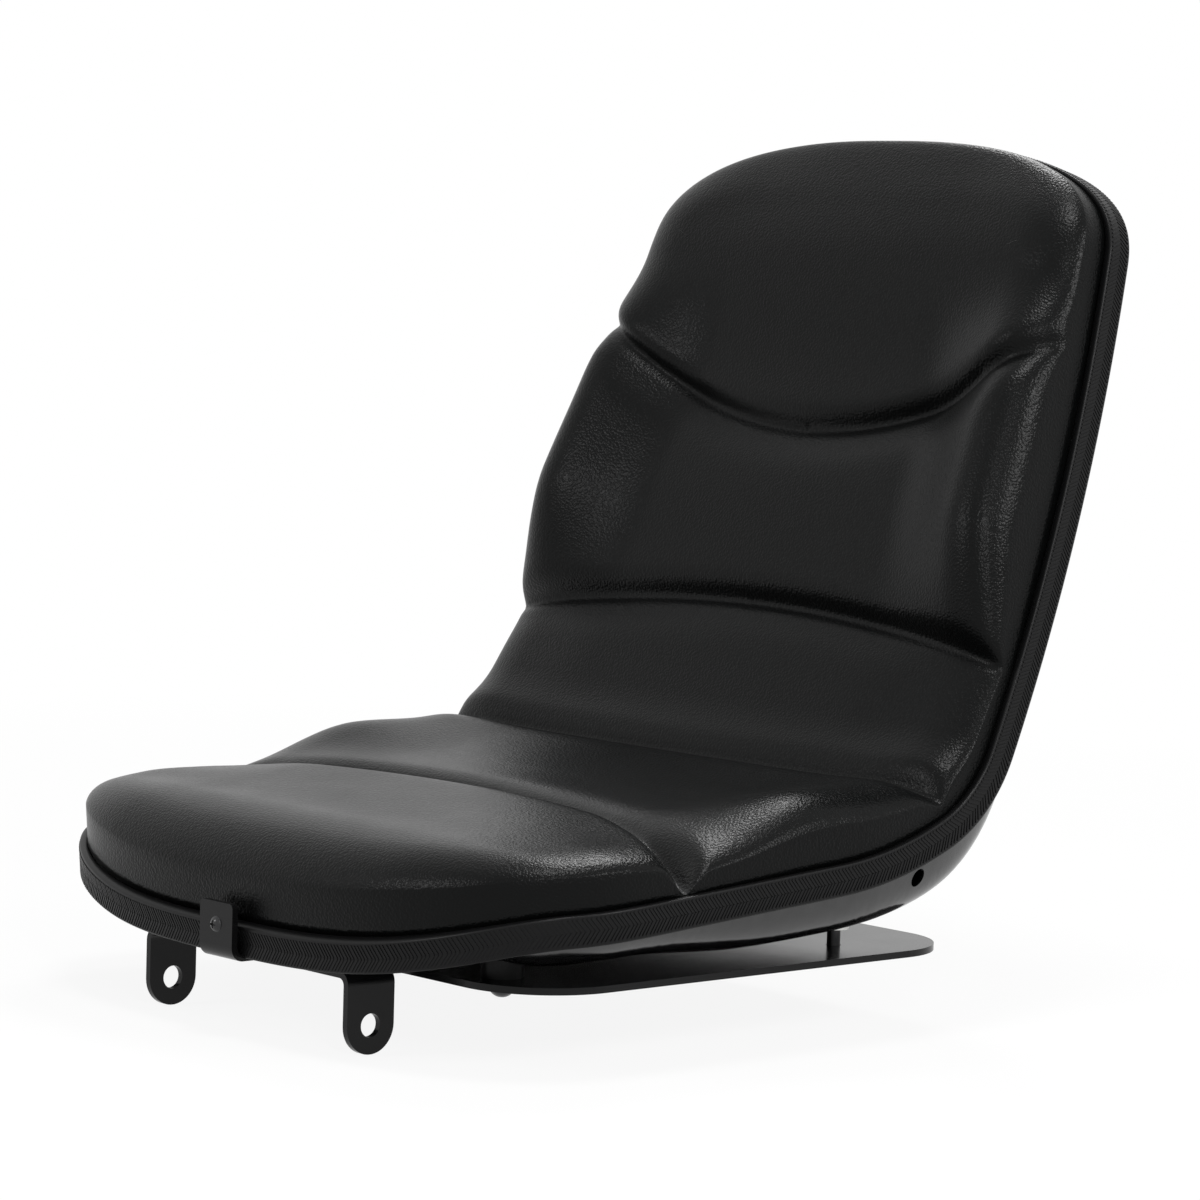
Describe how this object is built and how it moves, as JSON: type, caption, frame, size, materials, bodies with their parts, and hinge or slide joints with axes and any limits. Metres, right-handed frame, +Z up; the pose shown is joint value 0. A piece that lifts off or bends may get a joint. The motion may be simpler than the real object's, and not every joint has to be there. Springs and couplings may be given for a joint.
{
  "type": "tractor seat",
  "caption": "Bucket seat for a small tractor or loader: a moulded cushion in a stamped pan with edge trim, on a bent hinge plate with two pivot ears.",
  "frame": {"origin": "middle of the hinge axis through the holes of the two ears", "axes": "+X along the hinge axis to the sitter's left, +Y to the back of the seat, +Z up"},
  "size_m": [0.468, 0.5472, 0.5234],
  "materials": {
    "black_vinyl": "satin grained vinyl",
    "gloss_black_pan": "gloss",
    "gloss_black_plate": "gloss",
    "black_trim": "embossed herringbone",
    "black_steel": "black oxide",
    "zinc_steel": "zinc plated"
  },
  "bodies": {
    "root": {"cushion": "black_vinyl", "seat_pan": "gloss_black_pan", "edge_trim": "black_trim", "hinge_plate": "gloss_black_plate", "front_bolts": "black_steel", "rear_bolts": "black_steel", "front_lock_washers": "zinc_steel", "rear_lock_washers": "zinc_steel", "front_spacers": "black_steel", "rear_washers": "zinc_steel", "pan_nuts": "zinc_steel", "tab_screw": "black_steel"}
  },
  "joints": []
}
